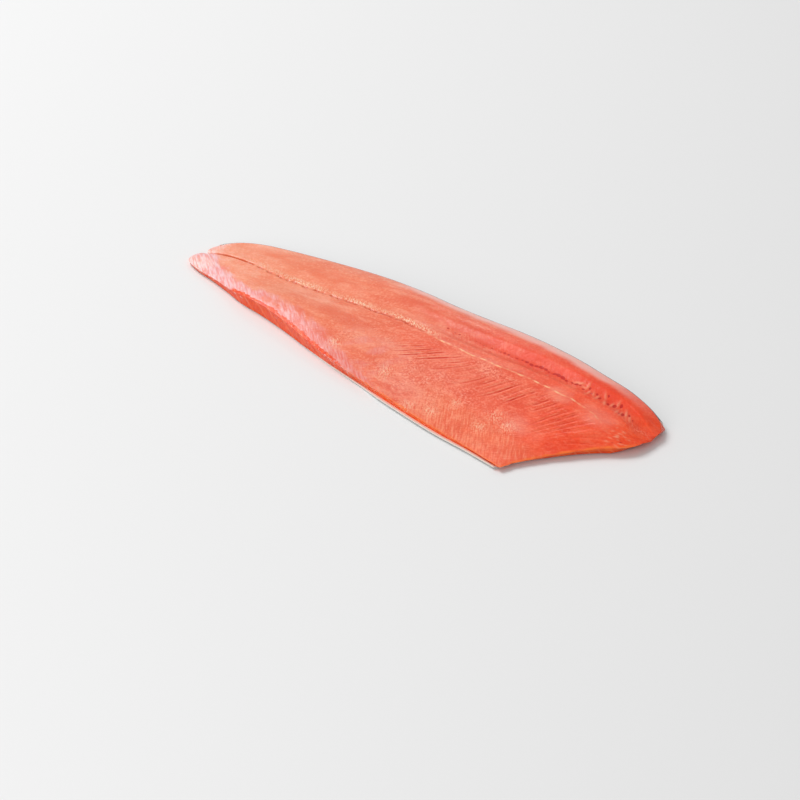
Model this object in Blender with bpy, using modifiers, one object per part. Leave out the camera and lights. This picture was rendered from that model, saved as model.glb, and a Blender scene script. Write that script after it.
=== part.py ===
"""Raw salmon fillet: one whole side of a small salmon, lying skin side down.

Two closed solids: the flesh, and the skin that runs under it and wraps up round the back.
The plan is drawn in millimetres from the notch in the tail, with +X to the head, +Y to the
back and +Z up. At the end the whole is moved so that the origin is under its middle.
"""
from math import cos, pi, radians, sin, sqrt

import bmesh
import bpy
import numpy as np

MM = 0.001
FLAT_MARGIN = 0.001 * MM
FLAT_ANGLE = radians(0.5)
SHARP_ANGLE = radians(35)

# Lines of the surface: slanted lines across the fillet, two to a rib ridge, and lines along it
CROSS_LINES = 112
SIDE_LINES = 10
SKIN_LINES = (-10, -9, -8, -7, 0, 5, 6, 7, 8, 9, 10)

# Plan of the fillet, as (along, across) in mm
BELLY_EDGE = (
    (-17, -16.5), (-8, -19.7), (5, -22), (22, -26), (40, -31), (60, -33.6), (88, -39.3),
    (106, -44), (128, -49.4), (155, -54.8), (198, -62.6), (228, -66.6), (256, -68.4), (281, -70.8),
)
MIDLINE = (
    (-15.4, 0.5), (0, 4), (22, 4), (50, 1), (90, 2),
    (140, 4.5), (200, 3), (270, 7), (300, 5), (325, -8),
)
BACK_EDGE = (
    (-14, 15.5), (-8, 21.3), (2, 27.7), (14, 32), (26, 34.5), (80, 43), (110, 46), (140, 46.6),
    (165, 46), (190, 47.3), (215, 49.3), (240, 49.6), (265, 48.2), (281, 46.3), (309, 43.3),
    (325, 39), (333, 35.5),
)

# Height of the top surface in mm, against the distance along
BELLY_HEIGHT = (
    (-17, 2.8), (10, 4.2), (30, 6), (45, 9), (60, 10),
    (80, 9.7), (110, 8), (150, 6.2), (190, 4.6), (281, 3.2),
)
MIDLINE_HEIGHT = (
    (-16, 4), (0, 6), (25, 8.5), (58, 11), (86, 13), (114, 15),
    (140, 16.5), (200, 17), (240, 16.5), (278, 15), (300, 13), (325, 9),
)
CREST_HEIGHT = (
    (-15, 4), (0, 6), (25, 9), (58, 12.5), (86, 15.5), (114, 18),
    (140, 19.8), (200, 21), (240, 21), (278, 19), (300, 16.5), (333, 9),
)
SWELL_LEAN = 1.6
BELLY_SWELL = ((-17, 0.3), (20, 1), (60, 2.4), (100, 1.8), (150, 0), (220, -1), (281, -0.6))
TROUGH_DEPTH = ((-17, 0), (130, 0.2), (180, 1.6), (220, 2.4), (290, 2.2), (333, 0.8))
GROOVE_DEPTH = ((-17, 3), (0, 4), (8, 1.4), (60, 0.9), (150, 0.6), (325, 0.4))
GROOVE_FLOOR = 0.8

# The belly wall leans out over the skin in the tail half, and its top stands back from it later
WALL_OVERHANG = 0.4
WALL_SETBACK = 2.4
WALL_SETBACK_START = 130
WALL_SETBACK_SPAN = 60
WALL_RETURN = 1.6
WALL_RETURN_START = 230
WALL_RETURN_SPAN = 50
WALL_FOOT_TAIL = 0.8
WALL_FOOT_HEAD = 2.2
WALL_FOOT_START = 0.45
WALL_FOOT_SPAN = 0.2

# The two ends: how far the cut bows out between its corners, and how it rolls down to its rim
TAIL_LOBE_BOW = 4.8
TAIL_UPPER_LOBE_BOW = 3.2
TAIL_BOW_REACH = 14
TAIL_ROLL = 9
TAIL_RIM = 2.8
HEAD_BELLY_BOW = -4.5
HEAD_BACK_BOW = 7.2
HEAD_BOW_REACH = 45
HEAD_ROLL = 16
HEAD_RIM_BELLY = 3.2
HEAD_RIM_MIDDLE = 6
HEAD_RIM_TIP = 5.2
HEAD_UNDERCUT = 2.2
RIB_SLANT = 0.06

# Section across the back: the crest's place, and the round that the skin follows up to its lip
CREST_PLACE = 0.68
TROUGH_PLACE = ((-15, 0.38), (240, 0.38), (280, 0.44), (305, 0.52), (325, 0.58))
TROUGH_HALF_WIDTH = 0.2
BEND_COLUMNS = 5
BEND_REACH = 0.52
BEND_RISE = 0.45
LIP_ANGLE = radians(50)
LIP_COVER = 0.9
LIP_STEP = 0.1
LIP_SHARE = 0.2

# Rib ridges on the belly wall, and the row of small pits that the pin bones leave
RIDGE_HEIGHT = 0.35
RIDGE_START = 150
RIDGE_FADE = 40
RIDGE_TOP_END = 0.06
RIDGE_TOP_FADE = 0.15
RIDGE_FOOT_END = 0.86
RIDGE_FOOT_FADE = 0.2
PIT_DEPTH = 0.45
PIT_HALF_WIDTH = 0.09
PIT_START = 175

# Skin
SKIN_THICKNESS = 1.0
GAP = 0.35
BELLY_LIP_RISE = 1.4
BELLY_LIP_WIDTH = 6
BELLY_LIP_START = 130
BELLY_LIP_FULL = 190
SKIN_HEAD_INSET = 2.4
SKIN_TAIL_REACH = 0.5

# Plain colours and roughness of the two materials
FLESH_COLOR = (0.82, 0.16, 0.09)
FLESH_ROUGHNESS = 0.35
SKIN_COLOR = (0.42, 0.44, 0.46)
SKIN_ROUGHNESS = 0.4


def curve(points):
    """A smooth curve through a few (x, value) pairs, as a function of x."""
    xs, values = np.array(points, dtype=float).T
    slopes = np.gradient(values, xs)

    def at(x):
        x = min(max(x, xs[0]), xs[-1])
        i = min(max(int(np.searchsorted(xs, x)) - 1, 0), len(xs) - 2)
        span = xs[i + 1] - xs[i]
        s = (x - xs[i]) / span
        start = values[i] * (1 + 2 * s) * (1 - s) ** 2 + slopes[i] * span * s * (1 - s) ** 2
        end = values[i + 1] * s * s * (3 - 2 * s) + slopes[i + 1] * span * s * s * (s - 1)
        return start + end

    return at


belly_edge = curve(BELLY_EDGE)
midline = curve(MIDLINE)
back_edge = curve(BACK_EDGE)
belly_height = curve(BELLY_HEIGHT)
midline_height = curve(MIDLINE_HEIGHT)
crest_height = curve(CREST_HEIGHT)
belly_swell = curve(BELLY_SWELL)
trough_depth = curve(TROUGH_DEPTH)
groove_depth = curve(GROOVE_DEPTH)
trough_place = curve(TROUGH_PLACE)


def ease(x):
    """Rise smoothly from 0 to 1 while x goes from 0 to 1."""
    x = min(max(x, 0.0), 1.0)
    return x * x * (3 - 2 * x)


def blend(a, b, s):
    return a + (b - a) * s


def along(line, u):
    """The distance along at fraction u of an outline."""
    return blend(line[0][0], line[-1][0], u)


def side_fraction(k):
    """Line k of SIDE_LINES from the midline to an edge, closer together at both."""
    return 0.5 - 0.5 * cos(pi * k / SIDE_LINES)


def middle_point(u):
    x = along(MIDLINE, u)
    return x, midline(x)


def belly_point(u):
    """The belly edge lags behind the midline, so that the lines slant as the ribs do."""
    x = along(BELLY_EDGE, u - RIB_SLANT * sin(pi * u))
    return x, belly_edge(x)


def back_point(u):
    x = along(BACK_EDGE, u)
    return x, back_edge(x)


def fillet_length():
    return MIDLINE[-1][0] - MIDLINE[0][0]


def from_tail(u):
    return u * fillet_length()


def from_head(u):
    return (1 - u) * fillet_length()


def end_bow(u, side, t):
    """How far the outline stands out along X at the tail end and at the head cut."""
    tail = TAIL_LOBE_BOW if side < 0 else TAIL_UPPER_LOBE_BOW
    head = HEAD_BELLY_BOW if side < 0 else HEAD_BACK_BOW
    lobe = 1 - abs(2 * t - 1) ** 3
    at_tail = max(0.0, 1 - from_tail(u) / TAIL_BOW_REACH) ** 2
    at_head = max(0.0, 1 - from_head(u) / HEAD_BOW_REACH) ** 2
    return lobe * (head * at_head - tail * at_tail)


def settle(z, u, side, t):
    """Roll a height down to the rim at the tail end and at the head cut."""
    rim = blend(HEAD_RIM_MIDDLE, HEAD_RIM_BELLY if side < 0 else HEAD_RIM_TIP, t)
    head = min(from_head(u) / HEAD_ROLL, 1.0)
    tail = min(from_tail(u) / TAIL_ROLL, 1.0)
    z = blend(min(rim, z), z, sqrt(1 - (1 - head) ** 2))
    return blend(min(TAIL_RIM, z), z, sqrt(1 - (1 - tail) ** 2))


def bend(u):
    """The round of the back at station u: its centre, its reach and its rise."""
    x, y = back_point(u)
    crest = settle(crest_height(x), u, 1, 1)
    reach = BEND_REACH * crest
    rise = BEND_RISE * (crest - SKIN_THICKNESS)
    return x, y - reach, SKIN_THICKNESS + rise, reach, rise


def bend_point(u, angle, offset):
    """A point of the round: offset is outwards from the face where skin meets flesh."""
    x, y, z, reach, rise = bend(u)
    return x, y + (reach + offset) * cos(angle), z + (rise + offset) * sin(angle)


def lip_angle(u, cover):
    """The angle of the skin's lip, plus a small distance round the bend past it."""
    return LIP_ANGLE + cover / bend(u)[3]


def ridge(u, row, side, t):
    """Rib ridges on the belly wall and pits along the pin bones: every second line stands out."""
    x = middle_point(u)[0]
    beat = 1 if row % 2 else -1
    if side < 0:
        top = ease((t - RIDGE_TOP_END) / RIDGE_TOP_FADE)
        foot = ease((RIDGE_FOOT_END - t) / RIDGE_FOOT_FADE)
        return RIDGE_HEIGHT * beat * top * foot * ease((x - RIDGE_START) / RIDGE_FADE)
    near = max(0.0, 1 - abs(t - trough_place(x)) / PIT_HALF_WIDTH)
    return PIT_DEPTH * beat * near * ease((x - PIT_START) / RIDGE_FADE)


def wall_top_inset(x):
    """How far the top of the belly wall stands back from the skin's edge."""
    setback = ease((x - WALL_SETBACK_START) / WALL_SETBACK_SPAN)
    back = ease((x - WALL_RETURN_START) / WALL_RETURN_SPAN)
    return blend(-WALL_OVERHANG, WALL_SETBACK, setback) - WALL_RETURN * back


def wall_foot_inset(u):
    """How far the foot of the belly wall stands back from the skin's edge."""
    return blend(WALL_FOOT_TAIL, WALL_FOOT_HEAD, ease((u - WALL_FOOT_START) / WALL_FOOT_SPAN))


def top_point(u, row, side, t):
    """The top surface: t is 0 at the midline and 1 at the belly edge or at the skin's lip."""
    mx, my = middle_point(u)
    middle = settle(midline_height(mx), u, side, 0)
    deepest = middle - SKIN_THICKNESS - GAP - GROOVE_FLOOR
    groove = min(groove_depth(mx), deepest) if t == 0 else 0.0
    if side < 0:
        ex, ey = belly_point(u)
        ey += wall_top_inset(ex)
        edge = settle(belly_height(ex), u, side, 1)
        swell = belly_swell(ex) * sin(pi * t ** SWELL_LEAN)
        z = settle(blend(middle, edge, t) + swell, u, side, t)
    else:
        ex, ey, lip = bend_point(u, lip_angle(u, LIP_COVER), SKIN_THICKNESS - LIP_STEP)
        crest = settle(crest_height(ex), u, side, CREST_PLACE)
        trough = max(0.0, 1 - ((t - trough_place(mx)) / TROUGH_HALF_WIDTH) ** 2)
        if t < CREST_PLACE:
            z = blend(middle, crest, ease(t / CREST_PLACE)) - trough_depth(mx) * trough
        else:
            fall = (t - CREST_PLACE) / (1 - CREST_PLACE)
            z = blend(crest, lip, fall ** 2)
        z = blend(settle(z, u, side, t), z, ease((t - 1 + LIP_SHARE) / LIP_SHARE))
    x = blend(mx, ex, t) + end_bow(u, side, t)
    return x, blend(my, ey, t), z - groove + ridge(u, row, side, t)


def undercut(u):
    """How far the underside draws back along X under the head cut."""
    return HEAD_UNDERCUT * max(0.0, 1 - from_head(u) / HEAD_BOW_REACH) ** 2


def belly_lip(x, distance):
    """The skin turns up a little along the belly edge of the head half."""
    rise = BELLY_LIP_RISE * ease((x - BELLY_LIP_START) / (BELLY_LIP_FULL - BELLY_LIP_START))
    return rise * max(0.0, 1 - distance / BELLY_LIP_WIDTH) ** 2


def under_point(u, side, k, offset, belly_inset):
    """The face where flesh and skin meet, moved outwards by offset, on line k from the midline."""
    t = side_fraction(k)
    mx, my = middle_point(u)
    flat = SKIN_THICKNESS - offset
    shift = end_bow(u, side, t) - undercut(u)
    if side < 0:
        ex, ey = belly_point(u)
        y = blend(my, ey + belly_inset, t)
        rise = belly_lip(ex, y - ey)
        return blend(mx, ex, t) + shift, y, flat + rise
    first = SIDE_LINES - BEND_COLUMNS
    if k <= first:
        ex, ey = bend(u)[:2]
        return blend(mx, ex, k / first * side_fraction(first)) + shift, blend(my, ey, k / first), flat
    cover = GAP if offset < 0 else 0.0
    angle = blend(-pi / 2, lip_angle(u, cover), (k - first) / BEND_COLUMNS)
    x, y, z = bend_point(u, angle, offset)
    return blend(mx, x, t) + shift, y, z


def sheet(bm, lines, place):
    """A grid whose vertices are put in place by place(row, side, line)."""
    before = len(bm.verts)
    across = len(lines) - 1
    bmesh.ops.create_grid(bm, x_segments=CROSS_LINES, y_segments=across, size=0.5)
    bm.verts.ensure_lookup_table()
    for vert in bm.verts[before:]:
        row = round((vert.co.x + 0.5) * CROSS_LINES)
        line = lines[round((vert.co.y + 0.5) * across)]
        side = -1 if line < 0 else 1
        vert.co = [MM * c for c in place(row, side, abs(line))]


def join_flat_faces(bm, height):
    """Make one face of the many that lie flat at this height."""
    flat = [face for face in bm.faces if all(v.co.z < height + FLAT_MARGIN for v in face.verts)]
    edges = {edge for face in flat for edge in face.edges}
    verts = {vert for face in flat for vert in face.verts}
    bmesh.ops.dissolve_limit(bm, angle_limit=FLAT_ANGLE, verts=list(verts), edges=list(edges))


def new_piece(name, bm, collection, color, roughness):
    mesh = bpy.data.meshes.new(name)
    bm.to_mesh(mesh)
    bm.free()
    mesh.shade_smooth()
    mesh.set_sharp_from_angle(angle=SHARP_ANGLE)
    material = bpy.data.materials.new(name)
    material.use_nodes = True
    shader = material.node_tree.nodes["Principled BSDF"]
    shader.inputs["Base Color"].default_value = (*color, 1)
    shader.inputs["Roughness"].default_value = roughness
    shader.inputs["Metallic"].default_value = 0
    mesh.materials.append(material)
    piece = bpy.data.objects.new(name, mesh)
    collection.objects.link(piece)
    return piece


def make_flesh(collection):
    """The flesh: a top sheet and an under sheet, joined by the cut walls round the outline."""
    def top(row, side, k):
        return top_point(row / CROSS_LINES, row, side, side_fraction(k))

    def under(row, side, k):
        u = row / CROSS_LINES
        return under_point(u, side, k, -GAP, wall_foot_inset(u))

    bm = bmesh.new()
    lines = range(-SIDE_LINES, SIDE_LINES + 1)
    sheet(bm, lines, top)
    sheet(bm, lines, under)
    rims = [edge for edge in bm.edges if edge.is_boundary]
    bmesh.ops.bridge_loops(bm, edges=rims)
    bmesh.ops.recalc_face_normals(bm, faces=bm.faces[:])
    join_flat_faces(bm, MM * (SKIN_THICKNESS + GAP))
    return new_piece("flesh", bm, collection, FLESH_COLOR, FLESH_ROUGHNESS)


def make_skin(collection):
    """The skin: one sheet, thickened outwards, from the belly edge round to the lip on the back."""
    def face(row, side, k):
        u = row / CROSS_LINES * (1 - SKIN_HEAD_INSET / fillet_length())
        x, y, z = under_point(u, side, k, 0.0, 0.0)
        tail = max(0.0, 1 - from_tail(u) / TAIL_BOW_REACH)
        return x - SKIN_TAIL_REACH * tail, y, z

    bm = bmesh.new()
    sheet(bm, SKIN_LINES, face)
    piece = new_piece("skin", bm, collection, SKIN_COLOR, SKIN_ROUGHNESS)
    shell = piece.modifiers.new("thickness", "SOLIDIFY")
    shell.thickness = MM * SKIN_THICKNESS
    shell.offset = -1
    return piece


def stand_on_origin(pieces):
    """Move the pieces so that the origin is under the middle of the whole, on the floor."""
    bpy.context.view_layer.update()
    graph = bpy.context.evaluated_depsgraph_get()
    corners = []
    for piece in pieces:
        mesh = piece.evaluated_get(graph).to_mesh()
        corners += [vert.co.copy() for vert in mesh.vertices]
    low = np.min(corners, axis=0)
    high = np.max(corners, axis=0)
    for piece in pieces:
        piece.location = (-(low[0] + high[0]) / 2, -(low[1] + high[1]) / 2, -low[2])


def main():
    for obj in list(bpy.data.objects):
        bpy.data.objects.remove(obj, do_unlink=True)
    collection = bpy.data.collections.new("raw salmon fillet")
    bpy.context.scene.collection.children.link(collection)
    pieces = [make_flesh(collection), make_skin(collection)]
    stand_on_origin(pieces)


main()
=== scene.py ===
"""Looks of one raw salmon fillet: fine flesh and skin in place of the part's two plain solids.

Plan positions are in mm from the notch in the tail, as in the part's own source: +X to the
head, +Y to the back and +Z up. NOTCH is where that point lies in the frame.
"""

from math import cos, pi, radians, sin

import bmesh
import bpy
import numpy as np
from mathutils import Matrix, Vector, noise


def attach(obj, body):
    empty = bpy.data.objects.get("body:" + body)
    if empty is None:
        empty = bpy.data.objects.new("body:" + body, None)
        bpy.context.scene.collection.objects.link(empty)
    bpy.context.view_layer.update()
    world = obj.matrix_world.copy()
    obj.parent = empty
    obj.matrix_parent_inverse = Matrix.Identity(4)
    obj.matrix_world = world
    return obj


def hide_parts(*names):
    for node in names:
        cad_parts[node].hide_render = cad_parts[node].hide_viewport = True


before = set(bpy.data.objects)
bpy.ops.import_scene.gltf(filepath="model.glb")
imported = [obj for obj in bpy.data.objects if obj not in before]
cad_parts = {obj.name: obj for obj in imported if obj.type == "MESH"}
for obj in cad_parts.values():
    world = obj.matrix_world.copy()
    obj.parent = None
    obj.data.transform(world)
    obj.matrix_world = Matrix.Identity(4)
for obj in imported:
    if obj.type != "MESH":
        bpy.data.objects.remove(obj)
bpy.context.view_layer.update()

MM = 0.001
NOTCH = (-158.06, 10.15, 0.0)
SEED = 7

# Fineness of the mesh: rows along the fillet, columns on each side of the midline, wall steps
ROWS = 480
BELLY_COLUMNS = 98
BACK_COLUMNS = 64
WALL_CUTS = 7
SHARP_ANGLE = radians(62)

# Hidden faces are merged: flat ones in strips, curved ones a few rows at a time
HIDDEN_STRIPS = 24
HIDDEN_ROWS = 4
FLAT_NORMAL = -0.999

# Plan of the fillet, as (along, across)
BELLY_EDGE = (
    (-17, -16.5), (-8, -19.7), (5, -22), (22, -26), (40, -31), (60, -33.6), (88, -39.3),
    (106, -44), (128, -49.4), (155, -54.8), (198, -62.6), (228, -66.6), (256, -68.4), (281, -70.8),
)
MIDLINE = (
    (-15.4, 0.5), (0, 4), (22, 4), (50, 1), (90, 2),
    (140, 4.5), (200, 3), (270, 7), (300, 5), (325, -8),
)
BACK_EDGE = (
    (-14, 15.5), (-8, 21.3), (2, 27.7), (14, 32), (26, 34.5), (80, 43), (110, 46), (140, 46.6),
    (165, 46), (190, 47.3), (215, 49.3), (240, 49.6), (265, 48.2), (281, 46.3), (309, 43.3),
    (325, 39), (333, 35.5),
)

# Height of the top surface, against the distance along
BELLY_HEIGHT = (
    (-17, 2.8), (10, 4.2), (30, 6), (45, 9), (60, 10),
    (80, 9.7), (110, 8), (150, 6.2), (190, 4.6), (281, 3.2),
)
MIDLINE_HEIGHT = (
    (-16, 4), (0, 6), (25, 8.5), (58, 11), (86, 13), (114, 15),
    (140, 16.5), (200, 17), (240, 16.5), (278, 15), (300, 13), (325, 9),
)
CREST_HEIGHT = (
    (-15, 4), (0, 6), (25, 9), (58, 12.5), (86, 15.5), (114, 18),
    (140, 19.8), (200, 20.9), (240, 20.9), (278, 19), (300, 16.5), (333, 9),
)
SWELL_LEAN = 1.6
BELLY_SWELL = ((-17, 0.3), (20, 1), (60, 2.4), (100, 1.8), (150, 0), (220, -1), (281, -0.6))
TROUGH_DEPTH = ((-17, 0), (130, 0.2), (180, 1.6), (220, 2.4), (290, 2.2), (333, 0.8))

# The belly wall leans out over the skin in the tail half, and its top stands back from it later
WALL_OVERHANG = 0.4
WALL_SETBACK = 2.4
WALL_SETBACK_START = 130
WALL_SETBACK_SPAN = 60
WALL_RETURN = 1.6
WALL_RETURN_START = 230
WALL_RETURN_SPAN = 50
WALL_FOOT_TAIL = 0.8
WALL_FOOT_HEAD = 2.2
WALL_FOOT_START = 0.45
WALL_FOOT_SPAN = 0.2

# The two ends: how far the cut bows out between its corners, and how it rolls down to its rim
TAIL_LOBE_BOW = 4.8
TAIL_UPPER_LOBE_BOW = 3.2
TAIL_BOW_REACH = 14
TAIL_ROLL = 9
TAIL_RIM = 2.8
HEAD_BELLY_BOW = -4.5
HEAD_BACK_BOW = 7.2
HEAD_BOW_REACH = 45
HEAD_ROLL = 16
HEAD_RIM_BELLY = 3.2
HEAD_RIM_MIDDLE = 6
HEAD_RIM_TIP = 5.2
HEAD_UNDERCUT = 2.2
RIB_SLANT = 0.06

# Section across the back: the crest's place, and the round that the skin follows up to its lip
CREST_PLACE = 0.68
TROUGH_PLACE = ((-15, 0.38), (240, 0.38), (280, 0.44), (305, 0.52), (325, 0.58))
TROUGH_HALF_WIDTH = 0.2
ROUND_START = 0.5
BEND_REACH = 0.52
BEND_RISE = 0.45
LIP_ANGLE = radians(50)
LIP_COVER = 0.9
LIP_STEP = 0.1
LIP_SHARE = 0.2

# Skin: its outer face is the solid's, and it thins towards the tail
SKIN_THICKNESS = 1.0
SKIN_AT_TAIL = 0.45
SKIN_THIN_UNTIL = 110
SKIN_FULL_FROM = 190
SKIN_TUCK = 1.3
SKIN_TUCK_UNTIL = 158
SKIN_TUCK_FADE = 22
SKIN_GAP = 0.05
SKIN_ROWS = 260
SKIN_FLAT_COLUMNS = 34
SKIN_INNER_COLUMNS = 8
SKIN_ROUND_COLUMNS = 26
BELLY_LIP_RISE = 1.4
BELLY_LIP_WIDTH = 6
BELLY_LIP_START = 130
BELLY_LIP_FULL = 190
SKIN_HEAD_INSET = 2.4
SKIN_TAIL_REACH = 0.5

# Slit between the tail's lobes and the crease that goes on from it
CREASE_DEPTH = (
    (-17, 2.4), (0, 2.0), (12, 1.5), (20, 1.2), (60, 1.0), (110, 0.9), (150, 0.5), (175, 0),
)
CREASE_HALF_WIDTH = ((-17, 1.2), (0, 0.9), (14, 0.75), (22, 0.75), (175, 0.75))
CREASE_FULL_DEPTH = 0.5
CREASE_FLOOR = 1.6

# Cream septum along the midline of the head half
SEPTUM_HALF_WIDTH = 0.7
SEPTUM_RISE = 0.15

# Ribs of the belly wall. RIB_LEAN is how far a rib runs back for each mm below the midline, and
# RIB_COUNT the ribs counted along the midline. RIB_DEEPEST has (place, spread, strength).
RIB_LEAN = ((0, 1.0), (215, 1.03), (250, 0.66), (290, 0.53), (315, 0.75), (345, 0.93))
RIB_LEAN_AHEAD = 0.7
RIB_COUNT = ((0, 0), (215, 31.6), (290, 45), (345, 55))
RIB_SPARE = 12
RIB_PITCH = 4.7
RIB_TOP = (1, 10)
RIB_LENGTH = (13, 30)
RIB_LONGER = 8
RIB_STRENGTH = (0.4, 1.0)
RIB_TOP_FADE = 5
RIB_FOOT_FADE = 12
RIB_PLAIN = 0.35
RIB_CLUSTERED = 0.8
RIB_DEEPEST = ((195, 18, 1.6), (264, 26, 1.3))
RIB_GROOVE_DEPTH = 0.35
RIB_GROOVE_HALF_WIDTH = 0.62
RIB_ROUND = 0.26
RIB_ROUND_WEAK = 0.4
RIB_ROUND_STRONG = 0.6

# Pin-bone line: a thin torn line with pits, and the flakes that stand up towards the head
PIN_START = 176
PIN_END = 322
PIN_SPACING = 3.3
PIN_SPACING_VARIES = (0.7, 1.3)
PIN_FLAKES_START = 274
PIN_DEPTH = 0.12
PIN_LINE_HALF_WIDTH = 0.7
PIN_LINE_SHARE = 0.6
PIN_LINE_TORN = 0.4
PIT_SIZE = (0.6, 1.25)
PIT_SMALL = 0.7
PIT_GROWTH = 0.35
PIT_LENGTH = 1.3
PIT_WIDTH = 0.85
PIT_SHIFT = 0.7
PIT_SHIFT_LATE = 2.6
PIT_LEAN = (-25, 20)
PIT_LEAN_LATE = 110
FLAKE_OFFSET = (1.4, 2.6)
FLAKE_LENGTH = 3.0
FLAKE_WIDTH = 0.75
FLAKE_STRENGTH = (0.6, 1.0)
FLAKE_RISE = 0.3
PIN_ZONE_OFFSET = 2
PIN_ZONE_HALF_WIDTH = 7.5

# Pale membrane of the belly side with a painted pink sheen on it, the painted pink sheen that goes on
# from it, and the whitish lobe tips
FILM_WIDTH = ((-22, 24), (-8, 22), (4, 16), (20, 12), (60, 12.5), (110, 13.5), (150, 9), (190, 0))
FILM_FADE = 6
PINK_SHEEN_ACROSS = (14, 12, 52, 10)
PINK_SHEEN_SHARE = 0.5
TIP_REACH = 20
TIP_REACH_OUTER = 8
TIP_REACH_UPPER = 10
TIP_FADE = 12
STRAND_RELIEF = 0.16

# Painted pink sheen along the back, from this share of the back half outwards, and the line on its
# edge
BACK_SHEEN_INNER = ((130, 0.80), (200, 0.77), (250, 0.74), (280, 0.73), (333, 0.78))
BACK_SHEEN_FADE = (-0.03, 0.15)
CREST_LINE_HALF_WIDTH = 0.014
CREST_LINE_LEVEL = 0.6

# Pale flecks beside the midline and in torn places, given as (along, across, radius)
TORN_PATCHES = (
    (199, -58, 6), (214, -52, 5), (222, -37, 4), (250, -32, 6), (262, -36, 6), (247, -46, 5),
    (124, -37, 5), (168, -40, 6),
)
TORN_SHARE = 0.55
FLECK_PATCHES = ((66, 14), (110, 9), (152, 16))
FLECK_OFFSET = 2.8
FLECK_PLAIN = 0.4
FLECK_DENSE = 0.6

# Rough places, as ovals and as stretches across the belly side
ROUGH_PATCHES = ((200, -38, 42, 20), (226, -5, 22, 9))
ROUGH_RIBS = 0.35
ROUGH_RIBS_ACROSS = (2, 6, 45, 14)
ROUGH_SIDE = 0.6
ROUGH_SIDE_ACROSS = (6, 8, 40, 14)
ROUGH_PINS = 0.6
ROUGH_PINS_HALF_WIDTH = 5

# Places where the muscle is redder or paler than round them, as (along, across, reach, reach)
REDDER_PLACES = (
    (150, 23, 24, 7), (195, 22, 28, 6), (240, 23, 28, 6), (290, 25, 18, 8), (309, 22, 12, 8),
    (281, -55, 12, 12), (30, 22, 20, 6), (112, -15, 26, 6), (74, 19, 26, 6),
)
BLOTCHES = ((66, -29, 12, 3.5), (90, -26, 9, 2.5), (117, -34, 12, 4), (184, -50, 12, 3))
PALER_PLACES = (
    (303, 5, 14, 9), (272, 6, 10, 6), (192, -46, 18, 8), (266, -31, 10, 8), (145, -22, 20, 8),
    (78, -6, 22, 5), (14, 27, 16, 6),
)

# Saturated places: painted shade in the trough and in the tear's gaps, and the more saturated head
# cut and two spots
TROUGH_SHADE = 0.75
TROUGH_SHADE_OFFSET = 0.12
TROUGH_SHADE_WIDTH = 0.2
CUT_SATURATION = 0.35
CUT_SATURATION_REACH = (26, 22)
CUT_SATURATION_SIDE = (0.35, 0.3)
TEAR_GAP_RED_SHADE = 0.8
SATURATED_SPOTS = ((0.8, 7.4, -11.6, 2.6, 2.6), (0.3, 178, -6, 24, 8))

# The tear at the head cut, as (along, across, radius), and how it shows: lit pale flakes, and painted
# shade in its gaps
CUT_TEAR = (324, -1, 9)
TEAR_STRETCH = 1.3
TEAR_RELIEF = 0.45
TEAR_CONTRAST = 1.9
TEAR_PALE_FROM = 0.2
TEAR_GAP_SHADE_FROM = 0.15
TEAR_GAP_SHADE = 0.9

# The corner between the belly edge and the head cut, whose strands fan out
CORNER_WIDTH = (34, 16)
FAN_ANGLE = 125
FAN_TURN = 0.35
FAN_MIDDLE = 240
FAN_STRANDS = (1.3, 8, 1.1, 63)

# Streaks of the muscle. RIB_STREAKS has (strength, size across the ribs, size along them, seed).
RIB_STREAKS = ((0.5, 1.5, 9, 61), (0.5, 0.9, 3.5, 62))
BACK_STREAK_TAIL = 0.5
BACK_STREAK_HEAD = 0.2
PIN_STROKE_REACH = 10
STREAK_AT_TAIL = 0.3
STREAK_RELIEF = 0.07

# The top's red rim in the tail half, a lighter orange line along the belly edge of the head half, and
# a painted highlight along the head cut
RIM_WIDTH = (2.3, 0.9)
RIM_SHARE = 0.5
ORANGE_LINE_WIDTH = (1.6, 1.4)
CUT_HIGHLIGHT_WIDTH = (2.1, 1.4)
CUT_HIGHLIGHT_SIDE = (0.4, 0.3)

# How strongly some forms show in the pale and dark masks: painted light on the upright flakes, the
# crest line's pale colour, and painted shade in the pits
FLAKE_PALE = 0.9
CREST_LINE_PALE = 0.6
PIT_SHADE = 1.7

# Fine relief fades out towards the two ends, and the head cut's wave fades in
TAIL_END = 4
HEAD_END = 5
HEAD_WAVE_REACH = 14

# Where things begin along the fillet, as (start, fade in)
STARTS = {
    "crease dashes": (14, 8), "crease wander": (16, 12), "ribs": (172, 22), "long ribs": (270, 30),
    "torn pins": (262, 20), "big pits": (205, 45), "pin flakes": (274, 15), "fine back": (110, 50),
    "pin strokes": (150, 40), "corner": (185, 35), "trough": (185, 40), "rough pins": (190, 20),
    "streaks": (90, 80), "bright edge": (130, 40),
}

# Where things lie along the fillet, as (start, fade in, end, fade out)
REACHES = {
    "pin line": (184, 40, 312, 30), "pin zone": (160, 40, 335, 20), "pink_sheen": (118, 25, 185, 25),
    "flecks": (6, 12, 182, 12), "septum": (160, 25, 318, 45), "crest line": (140, 12, 232, 20),
    "back_sheen": (110, 30, 335, 70), "rough ribs": (150, 30, 300, 30), "rough side": (95, 30, 190, 40),
    "rim": (26, 18, 150, 50),
}

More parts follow.
